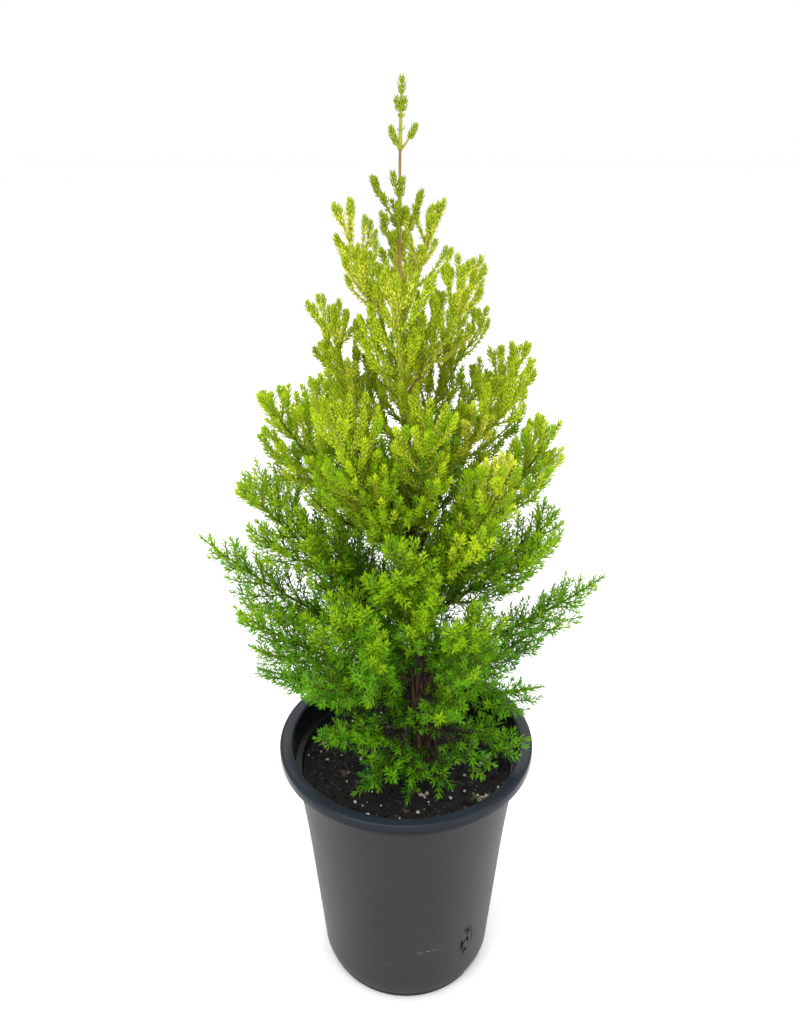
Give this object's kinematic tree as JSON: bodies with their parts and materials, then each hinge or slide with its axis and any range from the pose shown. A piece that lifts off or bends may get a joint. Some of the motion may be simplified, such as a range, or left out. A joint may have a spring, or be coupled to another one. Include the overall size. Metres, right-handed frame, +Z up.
{
  "type": "potted cypress",
  "caption": "Young lemon cypress with a narrow pointed crown of needle-like sprays, growing from dark soil in a tapered round plastic nursery pot.",
  "frame": {"origin": "centre of the pot's flat underside, on the floor", "axes": "+Z up along the trunk, +Y towards the back of the plant, +X to its right as seen from the front"},
  "size_m": [0.2422, 0.1745, 0.565],
  "materials": {
    "pot": "dark blue-grey moulded plastic, slightly glossy and lightly scratched",
    "soil": "near-black damp peat with white perlite crumbs",
    "bark": "fibrous red-brown bark, darker and shaggier low down",
    "foliage_low": "fresh mid-green soft needles",
    "foliage_green": "green to yellow-green needles",
    "foliage_lime": "lime yellow-green needles",
    "foliage_gold": "bright lime needles, golden at some tips"
  },
  "bodies": {
    "root": {"trunk": "bark", "pot": "pot", "soil": "soil", "leader": "foliage_gold", "bough_01": "bark", "foliage_01": "foliage_low", "bough_02": "bark", "foliage_02": "foliage_low", "bough_03": "bark", "foliage_03": "foliage_low", "bough_04": "bark", "foliage_04": "foliage_low", "bough_05": "bark", "foliage_05": "foliage_low", "bough_06": "bark", "foliage_06": "foliage_low", "bough_07": "bark", "foliage_07": "foliage_low", "bough_08": "bark", "foliage_08": "foliage_low", "bough_09": "bark", "foliage_09": "foliage_low", "bough_10": "bark", "foliage_10": "foliage_low", "bough_11": "bark", "foliage_11": "foliage_low", "bough_12": "bark", "foliage_12": "foliage_low", "foliage_13": "foliage_low", "foliage_14": "foliage_low", "foliage_15": "foliage_low", "foliage_16": "foliage_low", "foliage_17": "foliage_green", "foliage_18": "foliage_green", "foliage_19": "foliage_green", "foliage_20": "foliage_green", "foliage_21": "foliage_green", "foliage_22": "foliage_green", "foliage_23": "foliage_green", "foliage_24": "foliage_green", "foliage_25": "foliage_green", "foliage_26": "foliage_green", "foliage_27": "foliage_green", "foliage_28": "foliage_green", "foliage_29": "foliage_green", "foliage_30": "foliage_lime", "foliage_31": "foliage_lime", "foliage_32": "foliage_lime", "foliage_33": "foliage_lime", "foliage_34": "foliage_lime", "foliage_35": "foliage_lime", "foliage_36": "foliage_lime", "foliage_37": "foliage_lime", "foliage_38": "foliage_lime", "foliage_39": "foliage_lime", "foliage_40": "foliage_lime", "foliage_41": "foliage_lime", "foliage_42": "foliage_gold", "foliage_43": "foliage_gold"}
  },
  "joints": []
}
